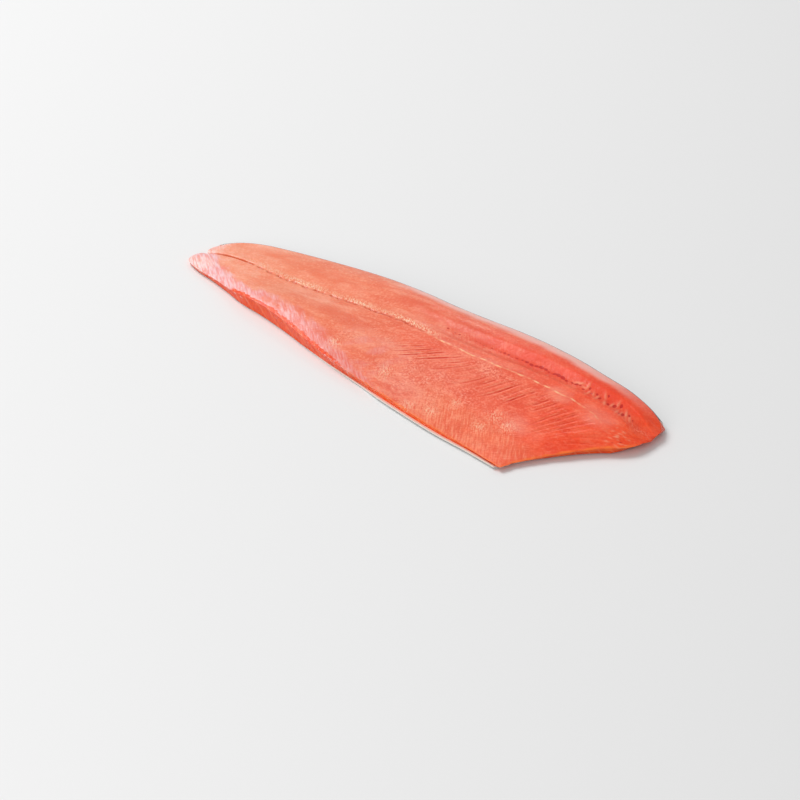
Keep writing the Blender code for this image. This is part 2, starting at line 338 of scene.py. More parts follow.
# Grains of noise in the plan: layers of (strength, length, width, angle, seed), in mm and degrees
GRAINS = {
    "rib wander": ((0.3, 26, 13, 45, 3),),
    "rib breaks": ((1.1, 6, 2, 45, 8),),
    "film edge": ((3, 9, 4, 150, 31), (1.5, 4, 1.5, 150, 32)),
    "strands": ((1, 9, 0.95, 139, 33), (0.6, 4, 0.7, 132, 34), (0.3, 12, 8, 0, 37)),
    "pink_sheen": ((1, 16, 8, 45, 35),),
    "tip edge": ((3, 5, 3, 150, 36),),
    "streak patches": ((0.8, 17, 11, 20, 68),),
    "corner strands": ((0.8, 4, 0.8, 122, 64),),
    "pin strokes": ((1, 6, 1.1, 125, 65), (0.4, 3, 0.8, 118, 66)),
    "back streaks": ((1, 26, 2.6, 3, 67),),
    "tear": ((1, 3.5, 1.5, 30, 74),),
    "band edge": ((0.025, 12, 5, 10, 76),),
    "rough patches": ((0.9, 15, 9, 45, 78),),
    "rough relief": ((0.16, 2.6, 1.5, 110, 79),),
    "slow relief": ((0.14, 22, 9, 60, 80),),
    "trough": ((0.4, 14, 5, 30, 81),),
    "rough streaks": ((0.8, 2.8, 1.6, 60, 82),),
    "rim": ((0.9, 3, 2, 0, 83),),
    "cut rim": ((0.8, 5, 5, 0, 84),),
    "bright rims": ((0.6, 7, 7, 0, 85),),
    "uneven": ((0.6, 14, 7, 35, 86),),
    "blotches": ((1.2, 5, 2.5, 150, 87),),
}

# Waves of noise along one line: layers of (strength, length, seed)
WAVES = {
    "pin wander": ((0.9, 7, 21),),
    "pin gaps": ((2.0, 3, 22),),
    "crease dashes": ((2.2, 4.5, 71),),
    "crease wander": ((0.8, 11, 72), (0.45, 3.2, 73)),
    "septum dashes": ((2, 4, 75),),
    "crest line": ((1, 7, 77),),
    "head cut": ((1.3, 9, 91), (0.5, 3.5, 92)),
}
NOISE_CELLS = 256
NOISE_GAIN = 1.5

# Torn fibres and lumps of the cut walls: their sizes in mm and their heights
WALL_FIBRE = (9, 9, 1.4)
WALL_FIBRE_RELIEF = 0.35
WALL_LUMP = (4, 4, 3)
WALL_LUMP_PLACE = 5
WALL_LUMP_RELIEF = 0.3
WALL_INSET = 0.15

# Flesh colour from the tail to the head, at even steps between two places of the frame, in mm
FLESH_TAIL = -150
FLESH_HEAD = 170
FLESH_STOPS = (
    "#F4A082", "#EF8B68", "#EF825F", "#EF7A57", "#EF7052", "#F06242", "#F6542D", "#FF4F16",
)
DEEP_STOPS = (
    "#EC7C54", "#E8704A", "#E66844", "#E25C3C", "#E05236", "#E0482C", "#E0381C", "#E03412",
)
PALE_STOPS = ("#FFC6AE", "#FFB89A", "#FFB094", "#FF9C7C", "#FF7C56")
# Darkest colours, for the painted shade in the crease and along the pin-bone line
DARK_STOPS = ("#D2561A", "#CC4A16", "#D23010", "#D8180A")
# The membrane's colours, which also carry its painted pink sheen
FILM_DEEP_STOPS = ("#EE9A98", "#E66C5E", "#E46252", "#E66A5A")
FILM_PALE_STOPS = ("#F6CED4", "#EEA4A0", "#EE9A90", "#F4A8A0")

# Patterns in the flesh's colour: (length, width, depth) in mm, turn, detail and distortion. The
# fibres run at the ribs' angle, the strokes and the comb across the midline.
FLESH_PATTERNS = {
    "mottle": ((18, 18, 18), 0, 3, 0),
    "blotches": ((14, 4, 4), 8, 3, 0),
    "specks": ((1.6, 1.6, 1.6), 0, 1, 0),
    "fibre": ((6, 0.8, 3), 47, 3, 0),
    "flakes": ((1.2, 1.2, 1.2), 0, 2, 0),
    "strokes": ((5, 0.9, 3), 122, 2, 0),
    "hair": ((9, 1, 3), 121, 2, 0),
    "fine strands": ((6, 0.7, 3), 138, 2, 0),
    "comb": ((2, 0.75, 2), 120, 2, 0.6),
    "blobs": ((4, 4, 4), 0, 2, 0),
}

# Settings of the two wet surfaces
FLESH_SHADER = {
    "Roughness": 0.38, "IOR": 1.36, "Coat Weight": 0.3, "Coat Roughness": 0.14,
    "Subsurface Weight": 0.2, "Subsurface Radius": (1.0, 0.35, 0.2), "Subsurface Scale": 0.0015,
}
SKIN_SHADER = {"Roughness": 0.3, "Metallic": 0.15, "Coat Weight": 0.3, "Coat Roughness": 0.12}

# Scales of the skin, in mm
SCALE_LENGTH = 3.4
SCALE_WIDTH = 2.6

# Camera: the photograph's, as its place, its line of sight and its roll
CAMERA_PLACE = (0.84499, -1.21225, 0.98007)
CAMERA_AIM = (-0.470464, 0.677268, -0.565661)
CAMERA_UP = (-0.381498, 0.421921, 0.822461)
CAMERA_LENS = 122.0
CAMERA_CLIP = 0.05
SENSOR = 36.0

# Soft white lights, as (name, place, size, power), and the even light round them
LIGHTS = (
    ("key", (-1.9, -0.15, 2.3), 1.5, 60),
    ("fill", (0.1, -1.4, 0.7), 0.8, 5),
    ("sparkle", (-0.75, 1.15, 0.95), 0.12, 0.7),
)
EVEN_LIGHT = 0.45
FLOOR_SIZE = 4
FLOOR_DROP = 0.0002


def curve(points):
    """A smooth curve through a few (x, value) pairs, as a function of an array of x."""
    xs, values = np.array(points, dtype=float).T
    slopes = np.gradient(values, xs)

    def at(x):
        x = np.clip(x, xs[0], xs[-1])
        i = np.clip(np.searchsorted(xs, x) - 1, 0, len(xs) - 2)
        span = xs[i + 1] - xs[i]
        s = (x - xs[i]) / span
        start = values[i] * (1 + 2 * s) * (1 - s) ** 2 + slopes[i] * span * s * (1 - s) ** 2
        end = values[i + 1] * s * s * (3 - 2 * s) + slopes[i + 1] * span * s * s * (s - 1)
        return start + end

    return at


belly_edge = curve(BELLY_EDGE)
midline = curve(MIDLINE)
back_edge = curve(BACK_EDGE)
belly_height = curve(BELLY_HEIGHT)
midline_height = curve(MIDLINE_HEIGHT)
crest_height = curve(CREST_HEIGHT)
belly_swell = curve(BELLY_SWELL)
trough_depth = curve(TROUGH_DEPTH)
trough_place = curve(TROUGH_PLACE)
crease_depth = curve(CREASE_DEPTH)
crease_half_width = curve(CREASE_HALF_WIDTH)
rib_lean = curve(RIB_LEAN)
rib_count = curve(RIB_COUNT)
film_width = curve(FILM_WIDTH)
back_sheen_inner = curve(BACK_SHEEN_INNER)


def ease(x):
    """Rise smoothly from 0 to 1 while x goes from 0 to 1."""
    x = np.clip(x, 0.0, 1.0)
    return x * x * (3 - 2 * x)


def rise(x, start, span):
    """Rise smoothly from 0 to 1 over a span from a start."""
    return ease((x - start) / span)


def fall(x, end, span):
    """Fall smoothly from 1 to 0 over a span up to an end."""
    return ease((end - x) / span)


def blend(a, b, s):
    return a + (b - a) * s


def bell(x):
    """A smooth bump of height 1, about 2 wide."""
    return np.exp(-x * x)


def along(line, u):
    """The distance along at fraction u of an outline."""
    return blend(line[0][0], line[-1][0], u)


def middle_point(u):
    x = along(MIDLINE, u)
    return x, midline(x)


def belly_point(u):
    """The belly edge lags behind the midline, so that the rows slant as the ribs do."""
    x = along(BELLY_EDGE, u - RIB_SLANT * np.sin(pi * u))
    return x, belly_edge(x)


def back_point(u):
    x = along(BACK_EDGE, u)
    return x, back_edge(x)


def fillet_length():
    return MIDLINE[-1][0] - MIDLINE[0][0]


def from_tail(u):
    return u * fillet_length()


def from_head(u):
    return (1 - u) * fillet_length()


def end_bow(u, q):
    """How far the outline stands out along X at the tail end and at the head cut."""
    tail = np.where(q < 0, TAIL_LOBE_BOW, TAIL_UPPER_LOBE_BOW)
    head = np.where(q < 0, HEAD_BELLY_BOW, HEAD_BACK_BOW)
    lobe = 1 - np.abs(2 * np.abs(q) - 1) ** 3
    at_tail = np.maximum(0.0, 1 - from_tail(u) / TAIL_BOW_REACH) ** 2
    at_head = np.maximum(0.0, 1 - from_head(u) / HEAD_BOW_REACH) ** 2
    return lobe * (head * at_head - tail * at_tail)


def settle(z, u, q):
    """Roll a height down to the rim at the tail end and at the head cut."""
    rim = blend(HEAD_RIM_MIDDLE, np.where(q < 0, HEAD_RIM_BELLY, HEAD_RIM_TIP), np.abs(q))
    head = np.minimum(from_head(u) / HEAD_ROLL, 1.0)
    tail = np.minimum(from_tail(u) / TAIL_ROLL, 1.0)
    z = blend(np.minimum(rim, z), z, np.sqrt(1 - (1 - head) ** 2))
    return blend(np.minimum(TAIL_RIM, z), z, np.sqrt(1 - (1 - tail) ** 2))


def bend(u):
    """The round of the back at station u: its centre, its reach and its height."""
    x, y = back_point(u)
    crest = settle(crest_height(x), u, 1.0)
    reach = BEND_REACH * crest
    height = BEND_RISE * (crest - SKIN_THICKNESS)
    return x, y - reach, SKIN_THICKNESS + height, reach, height


def bend_point(u, angle, offset):
    """A point of the round: offset is outwards from the face where skin meets flesh."""
    x, y, z, reach, height = bend(u)
    return x, y + (reach + offset) * np.cos(angle), z + (height + offset) * np.sin(angle)


def lip_angle(u, cover):
    """The angle of the skin's lip, plus a small distance round the bend past it."""
    return LIP_ANGLE + cover / bend(u)[3]


def wall_top_inset(x):
    """How far the top of the belly wall stands back from the skin's edge."""
    setback = rise(x, WALL_SETBACK_START, WALL_SETBACK_SPAN)
    back = rise(x, WALL_RETURN_START, WALL_RETURN_SPAN)
    return blend(-WALL_OVERHANG, WALL_SETBACK, setback) - WALL_RETURN * back


def wall_foot_inset(u):
    """How far the foot of the belly wall stands back from the skin's edge."""
    return blend(WALL_FOOT_TAIL, WALL_FOOT_HEAD, rise(u, WALL_FOOT_START, WALL_FOOT_SPAN))


def top_surface(u, q):
    """The smooth top: q is 0 at the midline, -1 at the belly edge and 1 at the skin's lip."""
    t = np.abs(q)
    mx, my = middle_point(u)
    middle = settle(midline_height(mx), u, 0.0)
    ex, ey = belly_point(u)
    edge = settle(belly_height(ex), u, -1.0)
    swell = belly_swell(ex) * np.sin(pi * t ** SWELL_LEAN)
    belly = settle(blend(middle, edge, t) + swell, u, q)
    lx, ly, lip = bend_point(u, lip_angle(u, LIP_COVER), SKIN_THICKNESS - LIP_STEP)
    crest = settle(crest_height(lx), u, CREST_PLACE)
    trough = np.maximum(0.0, 1 - ((t - trough_place(mx)) / TROUGH_HALF_WIDTH) ** 2) ** 1.5
    bank = blend(middle, crest, ease(t / CREST_PLACE)) - trough_depth(mx) * trough
    past = np.maximum(0.0, t - CREST_PLACE) / (1 - CREST_PLACE)
    back = np.where(t < CREST_PLACE, bank, blend(crest, lip, past ** 2))
    back = blend(settle(back, u, q), back, ease((t - 1 + LIP_SHARE) / LIP_SHARE))
    x = blend(mx, np.where(q < 0, ex, lx), t) + end_bow(u, q)
    y = blend(my, np.where(q < 0, ey + wall_top_inset(ex), ly), t)
    return x, y, np.where(q < 0, belly, back)


def skin_thickness(u):
    full = rise(middle_point(u)[0], SKIN_THIN_UNTIL, SKIN_FULL_FROM - SKIN_THIN_UNTIL)
    return blend(SKIN_AT_TAIL, SKIN_THICKNESS, full)


def under_surface(u, q, skin, belly_inset, cover=0.0):
    """A face under the fillet, at a depth of skin over its outer face.

    cover takes it past the skin's lip.
    """
    offset = SKIN_THICKNESS - skin
    t = np.abs(q)
    mx, my = middle_point(u)
    bx, by = belly_point(u)
    belly_y = blend(my, by + belly_inset, t)
    lift = rise(bx, BELLY_LIP_START, BELLY_LIP_FULL - BELLY_LIP_START)
    near = np.maximum(0.0, 1 - (belly_y - by) / BELLY_LIP_WIDTH) ** 2
    belly_z = skin + BELLY_LIP_RISE * lift * near
    ex, ey = bend(u)[:2]
    turn = np.maximum(0.0, t - ROUND_START) / (1 - ROUND_START)
    angle = blend(-pi / 2, lip_angle(u, cover), turn)
    rx, ry, rz = bend_point(u, angle, offset)
    inner = np.minimum(t / ROUND_START, 1.0)
    back_y = np.where(t < ROUND_START, blend(my, ey, inner), ry)
    back_z = np.where(t < ROUND_START, skin, rz)
    undercut = HEAD_UNDERCUT * np.maximum(0.0, 1 - from_head(u) / HEAD_BOW_REACH) ** 2
    x = blend(mx, np.where(q < 0, bx, rx), t) + end_bow(u, q) - undercut
    return x, np.where(q < 0, belly_y, back_y), np.where(q < 0, belly_z, back_z)


def noise_field(a, b, seed):
    """Smooth gradient noise of two coordinates, from about -1 to 1."""
    turns = np.random.RandomState(seed).uniform(0, 2 * pi, (NOISE_CELLS, NOISE_CELLS))
    row, column = np.floor(a).astype(int), np.floor(b).astype(int)
    across, down = ease(a - row), ease(b - column)
    total = 0.0
    for i, row_share in ((0, 1 - across), (1, across)):
        for j, column_share in ((0, 1 - down), (1, down)):
            turn = turns[(row + i) % NOISE_CELLS, (column + j) % NOISE_CELLS]
            slope = (a - row - i) * np.cos(turn) + (b - column - j) * np.sin(turn)
            total = total + slope * row_share * column_share
    return NOISE_GAIN * total


def grain(x, y, name):
    """A named grain of noise, each of its layers stretched along a direction in the plan."""
    total = 0.0
    for strength, length, width, angle, seed in GRAINS[name]:
        c, s = cos(radians(angle)), sin(radians(angle))
        layer = noise_field((x * c + y * s) / length, (y * c - x * s) / width, seed)
        total = total + strength * layer
    return total


def wave(x, name):
    """A named wave of noise along one line."""
    return sum(strength * noise_field(x / size, 0 * x, seed) for strength, size, seed in WAVES[name])


def within(x, start, fade_in, end, fade_out):
    """1 between two places and 0 outside them, with a soft change at each."""
    return rise(x, start, fade_in) * fall(x, end, fade_out)


def patches(x, y, places):
    """1 in each of a few flat-topped oval patches, and 0 between them."""
    share = 0 * x
    for px, py, reach_x, reach_y in places:
        share = np.maximum(share, bell(np.hypot((x - px) / reach_x, (y - py) / reach_y) ** 2))
    return share


def rib_place(x, y):
    """Where the rib through a point leaves the midline, and how far the point is below that."""
    below = midline(x) - y
    return x + rib_lean(x + RIB_LEAN_AHEAD * below) * below, below


def ribs(x, y, q):
    """The count of ribs, how deep the groove at a whole count is, and the swell between grooves."""
    rng = np.random.RandomState(SEED)
    total = RIB_COUNT[-1][1] + RIB_SPARE
    start, below = rib_place(x, y)
    count = rib_count(start) + grain(x, y, "rib wander")
    rib = np.clip(np.round(count).astype(int), 0, total - 1)
    top = rng.uniform(*RIB_TOP, total)[rib]
    length = rng.uniform(*RIB_LENGTH, total)[rib] + RIB_LONGER * rise(start, *STARTS["long ribs"])
    strength = rng.uniform(*RIB_STRENGTH, total)[rib]
    reach = rise(below, top, RIB_TOP_FADE) * fall(below, top + length, RIB_FOOT_FADE)
    clusters = sum(gain * bell((start - place) / spread) for place, spread, gain in RIB_DEEPEST)
    here = rise(start, *STARTS["ribs"]) * (q < 0)
    broken = np.clip(0.75 + grain(x, y, "rib breaks"), 0.1, 1.3)
    depth = strength * reach * (RIB_PLAIN + RIB_CLUSTERED * clusters) * here * broken
    swell = -np.cos(2 * pi * count) * reach * here * (RIB_ROUND_WEAK + RIB_ROUND_STRONG * strength)
    return count, np.clip(depth, 0, 1), swell


def pin_line(x, y):
    """Distance to the pin-bone line, its depth, its pits, and the flakes that stand beside it."""
    rng = np.random.RandomState(SEED + 1)
    u = (x - MIDLINE[0][0]) / fillet_length()
    middle = top_surface(np.clip(u, 0, 1), trough_place(x))[1] + wave(x, "pin wander")
    off = y - middle
    line = np.clip(0.3 + wave(x, "pin gaps"), 0, 1) * within(x, *REACHES["pin line"])
    line = line * (1 - PIN_LINE_TORN * rise(x, *STARTS["torn pins"]))
    pit = np.zeros_like(x)
    flake = np.zeros_like(x)
    station = PIN_START
    while station < PIN_END:
        late = float(rise(station, *STARTS["pin flakes"]))
        grown = PIT_SMALL + PIT_GROWTH * float(rise(station, *STARTS["big pits"]))
        size = rng.uniform(*PIT_SIZE) * grown
        shift = rng.uniform(-1, 1) * (PIT_SHIFT + PIT_SHIFT_LATE * late)
        lean = radians(rng.uniform(*PIT_LEAN) + PIT_LEAN_LATE * late)
        a = (x - station) * cos(lean) + (off - shift) * sin(lean)
        b = (off - shift) * cos(lean) - (x - station) * sin(lean)
        pit = np.maximum(pit, size * bell(a / (PIT_LENGTH * size)) * bell(b / (PIT_WIDTH * size)))
        if station > PIN_FLAKES_START:
            side = rng.uniform(*FLAKE_OFFSET)
            upright = bell((a - rng.uniform(-1, 1)) / FLAKE_LENGTH) * bell((b - side) / FLAKE_WIDTH)
            flake = np.maximum(flake, rng.uniform(*FLAKE_STRENGTH) * upright)
        station += PIN_SPACING * rng.uniform(*PIN_SPACING_VARIES)
    return off, line, np.clip(pit, 0, 1), flake


def membrane(x, y, u, q, from_belly):
    """Pale membrane of the belly side with painted pink sheen on and beyond it, its strands, and the
    whitish lobe tips.
    """
    membrane_and_sheen = fall(from_belly - grain(x, y, "film edge"), film_width(x), FILM_FADE) * (q < 0)
    strands = 0.5 + 0.5 * np.clip(grain(x, y, "strands"), -1, 1)
    pink_sheen = within(x, *REACHES["pink_sheen"]) * within(-y, *PINK_SHEEN_ACROSS) * (q < 0)
    pink_sheen = pink_sheen * rise(grain(x, y, "pink_sheen"), -0.15, 0.5)
    tip_reach = np.where(q < 0, TIP_REACH + TIP_REACH_OUTER * np.abs(q), TIP_REACH_UPPER)
    tip = fall(from_tail(u) - grain(x, y, "tip edge"), tip_reach, TIP_FADE)
    tip = tip * np.where(q < 0, rise(np.abs(q), 0.25, 0.4), 1)
    return np.clip(np.maximum(membrane_and_sheen, PINK_SHEEN_SHARE * pink_sheen), 0, 1), strands, tip


def flecks(x, y, q, from_middle):
    """How thick the pale flecks of connective tissue lie: beside the midline, and in torn places."""
    beside = bell((from_middle - FLECK_OFFSET) / FLECK_OFFSET) * (q > 0)
    beside = beside * within(x, *REACHES["flecks"])
    dense = sum(bell((x - place) / spread) for place, spread in FLECK_PATCHES)
    cover = beside * (FLECK_PLAIN + FLECK_DENSE * np.clip(dense, 0, 1))
    for px, py, radius in TORN_PATCHES:
        cover = np.maximum(cover, TORN_SHARE * bell(np.hypot(x - px, y - py) / radius))
    return cover


def streaks(x, y, q, off, corner):
    """Light and dark streaks of the muscle, along the ribs, the strands of the corner or the back."""
    start, below = rib_place(x, y)
    along_ribs = sum(
        strength * noise_field(start / across, below / length, seed)
        for strength, across, length, seed in RIB_STREAKS
    )
    along_ribs = along_ribs * (1 + grain(x, y, "streak patches"))
    fan = np.radians(FAN_ANGLE - FAN_TURN * (x - FAN_MIDDLE))
    c, s = np.cos(fan), np.sin(fan)
    strength, length, width, seed = FAN_STRANDS
    strand = strength * noise_field((x * c + y * s) / length, (y * c - x * s) / width, seed)
    belly = blend(along_ribs, strand + grain(x, y, "corner strands"), corner)
    fade = blend(BACK_STREAK_TAIL, BACK_STREAK_HEAD, rise(x, *STARTS["fine back"]))
    by_pins = bell((off - PIN_ZONE_OFFSET) / PIN_STROKE_REACH) * rise(x, *STARTS["pin strokes"])
    back = blend(grain(x, y, "back streaks") * fade, grain(x, y, "pin strokes"), by_pins)
    return np.where(q < 0, belly, back)


def sheet(bm, rows, columns, place):
    """A grid of rows and columns, put in place by the (x, y, z) arrays of place."""
    before = len(bm.verts)
    bmesh.ops.create_grid(bm, x_segments=rows, y_segments=columns, size=0.5)
    bm.verts.ensure_lookup_table()
    made = bm.verts[before:]
    index = [(round((v.co.x + 0.5) * rows), round((v.co.y + 0.5) * columns)) for v in made]
    points = np.stack(place, axis=-1) * MM
    for vert, (row, column) in zip(made, index):
        vert.co = points[row, column]
    return made, index


def store(verts, index, layer, values):
    for vert, (row, column) in zip(verts, index):
        vert[layer] = values[row, column]


def to_frame(place):
    x, y, z = place
    return x + NOTCH[0], y + NOTCH[1], z + NOTCH[2]


def side_columns():
    """The values of q across the fillet, from the belly edge to the skin's lip."""
    belly = np.linspace(-1, 0, BELLY_COLUMNS + 1)
    back = np.linspace(0, 1, BACK_COLUMNS + 1)
    return np.concatenate((belly, back[1:]))


def rough_places(x, y, off):
    """Where the surface is torn into small wet flakes."""
    start, below = rib_place(x, y)
    rough = patches(x, y, ROUGH_PATCHES)
    by_ribs = within(start, *REACHES["rough ribs"]) * within(below, *ROUGH_RIBS_ACROSS)
    by_side = within(x, *REACHES["rough side"]) * within(-y, *ROUGH_SIDE_ACROSS)
    by_pins = bell(off / ROUGH_PINS_HALF_WIDTH) * rise(x, *STARTS["rough pins"])
    for share, place in ((ROUGH_RIBS, by_ribs), (ROUGH_SIDE, by_side), (ROUGH_PINS, by_pins)):
        rough = np.maximum(rough, share * place)
    return np.clip(rough * (0.6 + grain(x, y, "rough patches")), 0, 1)


def saturated_and_shaded_places(x, y, u, q, tear):
    """Where the flesh is most saturated, with painted shade in the trough and in the tear's gaps."""
    trough = bell((q - trough_place(x) - TROUGH_SHADE_OFFSET) / TROUGH_SHADE_WIDTH)
    trough = trough * rise(x, *STARTS["trough"]) * (0.8 + grain(x, y, "trough"))
    cut = fall(from_head(u), *CUT_SATURATION_REACH) * fall(q, *CUT_SATURATION_SIDE)
    saturation_and_shade = TROUGH_SHADE * trough + CUT_SATURATION * cut + TEAR_GAP_RED_SHADE * np.clip(-tear, 0, 1)
    for strength, px, py, reach_x, reach_y in SATURATED_SPOTS:
        saturation_and_shade = saturation_and_shade + strength * bell(np.hypot((x - px) / reach_x, (y - py) / reach_y))
    return np.clip(saturation_and_shade, 0, 1)


def rims_and_cut_highlight(x, y, u, q, from_belly):
    """The red rim of the tail half, a lighter orange line along the belly edge, and a painted
    highlight along the head cut.
    """
    rim = fall(from_belly - grain(x, y, "rim"), *RIM_WIDTH) * within(x, *REACHES["rim"]) * (q < 0)
    edge = fall(from_belly, *ORANGE_LINE_WIDTH) * rise(x, *STARTS["bright edge"]) * (q < 0)
    cut = fall(from_head(u) - grain(x, y, "cut rim"), *CUT_HIGHLIGHT_WIDTH) * fall(q, *CUT_HIGHLIGHT_SIDE)
    orange_line_and_highlight = np.maximum(edge, cut) * (0.75 + grain(x, y, "bright rims"))
    return RIM_SHARE * rim, np.clip(orange_line_and_highlight, 0, 1)


def flesh_relief(u, q, x, y, z):
    """Fine relief of the top, and the masks that its colours read."""
    middle = middle_point(u)[1]
    edge_x, edge_y = belly_point(u)
    from_belly = (1 - np.abs(q)) * np.abs(middle - edge_y - wall_top_inset(edge_x))
    ends = ease(from_tail(u) / TAIL_END) * ease(from_head(u) / HEAD_END)

    # Along the midline: the crease of the tail half and the septum of the head half
    dash = np.clip(0.65 + wave(x, "crease dashes"), 0.1, 1)
    dash = blend(1.0, dash, rise(x, *STARTS["crease dashes"]))
    middle_off = y - middle - wave(x, "crease wander") * rise(x, *STARTS["crease wander"])
    crease = dash * ease(crease_depth(x) / CREASE_FULL_DEPTH)
    furrow = bell(middle_off / crease_half_width(x)) * crease
    septum = np.clip(0.5 + wave(x, "septum dashes"), 0.1, 1) * within(x, *REACHES["septum"])

    # On both sides of it: ribs, pins, membrane and flecks
    count, rib_depth, swell = ribs(x, y, q)
    groove = rib_depth * bell((count - np.round(count)) * RIB_PITCH / RIB_GROOVE_HALF_WIDTH)
    off, pin, pit, flake = pin_line(x, y)
    torn_line = np.maximum(pit, PIN_LINE_SHARE * pin * bell(off / PIN_LINE_HALF_WIDTH))
    pin_zone = bell((off - PIN_ZONE_OFFSET) / PIN_ZONE_HALF_WIDTH) * within(x, *REACHES["pin zone"])
    membrane_and_sheen, strands, tip = membrane(x, y, u, q, from_belly)
    fleck = flecks(x, y, q, np.abs(y - middle))
    corner = rise(x, *STARTS["corner"]) * fall(from_belly, *CORNER_WIDTH) * (q < 0)

    # The tear at the head cut, and the painted sheen along the back
    cx, cy, radius = CUT_TEAR
    tear = bell(np.hypot((x - cx) / TEAR_STRETCH, y - cy) / radius) * grain(x, y, "tear")
    back_sheen_edge = q - back_sheen_inner(x) + grain(x, y, "band edge")
    back_sheen = rise(back_sheen_edge, *BACK_SHEEN_FADE) * within(x, *REACHES["back_sheen"])
    crest_line = bell(back_sheen_edge / CREST_LINE_HALF_WIDTH) * within(x, *REACHES["crest line"])
    crest_line = crest_line * ease(CREST_LINE_LEVEL + wave(x, "crest line"))

    # Rough, streaky, redder and paler places
    rough = rough_places(x, y, off) * (1 - back_sheen)
    streak = streaks(x, y, q, off, corner) * blend(STREAK_AT_TAIL, 1.0, rise(x, *STARTS["streaks"]))
    streak = streak + rough * grain(x, y, "rough streaks")
    uneven = 0.75 + grain(x, y, "uneven")
    blotch = patches(x, y, BLOTCHES) * (0.7 + grain(x, y, "blotches"))
    rim, orange_line_and_highlight = rims_and_cut_highlight(x, y, u, q, from_belly)

    z = z - np.minimum(crease_depth(x), np.maximum(z - CREASE_FLOOR, 0)) * furrow
    z = z + (RIB_ROUND * swell - RIB_GROOVE_DEPTH * groove) * ends
    z = z + (FLAKE_RISE * flake - PIN_DEPTH * torn_line + TEAR_RELIEF * tear) * ends
    z = z + SEPTUM_RISE * septum * bell(middle_off / SEPTUM_HALF_WIDTH)
    z = z + STRAND_RELIEF * (strands - 0.5) * np.maximum(membrane_and_sheen, tip)
    z = z + (rough + fleck) * grain(x, y, "rough relief") * ends
    z = z + (STREAK_RELIEF * np.clip(streak, -1, 1) + grain(x, y, "slow relief")) * ends

    tear_pale = np.clip(TEAR_CONTRAST * tear - TEAR_PALE_FROM, 0, 1)
    tear_gap_shade = np.clip(-TEAR_CONTRAST * tear - TEAR_GAP_SHADE_FROM, 0, 1)
    return z, {
        "membrane_and_sheen": membrane_and_sheen, "strands": strands, "tip": tip, "back_sheen": back_sheen, "corner": corner,
        "saturation_and_shade": saturated_and_shaded_places(x, y, u, q, tear), "streak": np.clip(0.5 + 0.5 * streak, 0, 1),
        "rough": rough, "fleck": fleck, "rim": rim, "orange_line_and_highlight": orange_line_and_highlight,
        # pale: painted light on upright and torn flakes, and the crest line; dark: painted shade in
        # pits and in the tear's gaps
        "pale": np.clip(FLAKE_PALE * flake + tear_pale + CREST_LINE_PALE * crest_line, 0, 1),
        "dark": np.clip(PIT_SHADE * pit + TEAR_GAP_SHADE * tear_gap_shade, 0, 1),
        "middle_off": middle_off, "crease": crease, "septum": septum,
        "redder": np.clip(patches(x, y, REDDER_PLACES) * uneven, 0, 1),
        "paler": np.clip(patches(x, y, PALER_PLACES) * uneven, 0, 1),
        "blotch": np.clip(blotch, 0, 1), "pin_off": off, "pin": pin, "pin_zone": pin_zone,
        "rib_count": count, "rib_depth": rib_depth,
    }


def ragged_head(u, q, x, y):
    """Let the head cut run a little wavy, as the knife left it."""
    by_cut = fall(from_head(u), HEAD_WAVE_REACH, HEAD_WAVE_REACH)
    return x + wave(y, "head cut") * by_cut * fall(q, 1, 0.2) * rise(q, -1, 0.1)


def make_flesh():
    """The flesh: top and under sheets of one grid, joined by walls with relief of their own."""
    q = side_columns()[None, :]
    u = (np.arange(ROWS + 1) / ROWS)[:, None]
    x, y, z = top_surface(u, q)
    x = ragged_head(u, q, x, y)
    z, masks = flesh_relief(u, q + 0 * u, x, y, z)
    bm = bmesh.new()
    layers = {name: bm.verts.layers.float.new(name) for name in (*masks, "cut")}
    row_layer = bm.verts.layers.int.new("row")
    columns = BELLY_COLUMNS + BACK_COLUMNS
    verts, index = sheet(bm, ROWS, columns, to_frame((x, y, z)))
    for name, values in masks.items():
        store(verts, index, layers[name], values + 0 * x)
    skin = skin_thickness(u) + SKIN_GAP
    under = under_surface(u, q, skin, wall_foot_inset(u), SKIN_GAP)
    below, index = sheet(bm, ROWS, columns, to_frame(under))
    for vert, (row, _) in zip(below, index):
        vert[layers["cut"]] = 1
        vert[row_layer] = row
    rims = [edge for edge in bm.edges if edge.is_boundary]
    walls = bmesh.ops.bridge_loops(bm, edges=rims)["faces"]
    rim_set = set(rims)
    upright = {edge for face in walls for edge in face.edges} - rim_set
    bmesh.ops.subdivide_edges(bm, edges=list(upright), cuts=WALL_CUTS, use_grid_fill=True)
    bmesh.ops.recalc_face_normals(bm, faces=bm.faces[:])
    roughen_walls(bm, layers["cut"])
    merge_hidden_rows(bm, layers["cut"], row_layer)
    merge_hidden_faces(bm, layers["cut"])
    return new_piece("flesh_detail", bm, "flesh", raw_salmon_flesh(layers))


def merge_hidden_rows(bm, cut, row_layer):
    """Merge the curved faces on the skin, which nobody sees, a few rows at a time."""
    across = []
    for edge in bm.edges:
        first, second = (vert[row_layer] for vert in edge.verts)
        under = all(vert[cut] == 1 for vert in edge.verts)
        flat = any(is_hidden(face, cut) for face in edge.link_faces)
        if under and not flat and first == second and first % HIDDEN_ROWS:
            across.append(edge)
    bmesh.ops.dissolve_edges(bm, edges=across, use_verts=True)
    bm.verts.layers.int.remove(row_layer)


def merge_hidden_faces(bm, cut):
    """Merge the flat faces on the skin, which nobody sees, into strips across the fillet."""
    strips = {}
    for face in bm.faces:
        if is_hidden(face, cut):
            strip = int(face.calc_center_median().x / MM // (fillet_length() / HIDDEN_STRIPS))
            strips.setdefault(strip, []).append(face)
    for faces in strips.values():
        bmesh.ops.dissolve_faces(bm, faces=faces, use_verts=True)


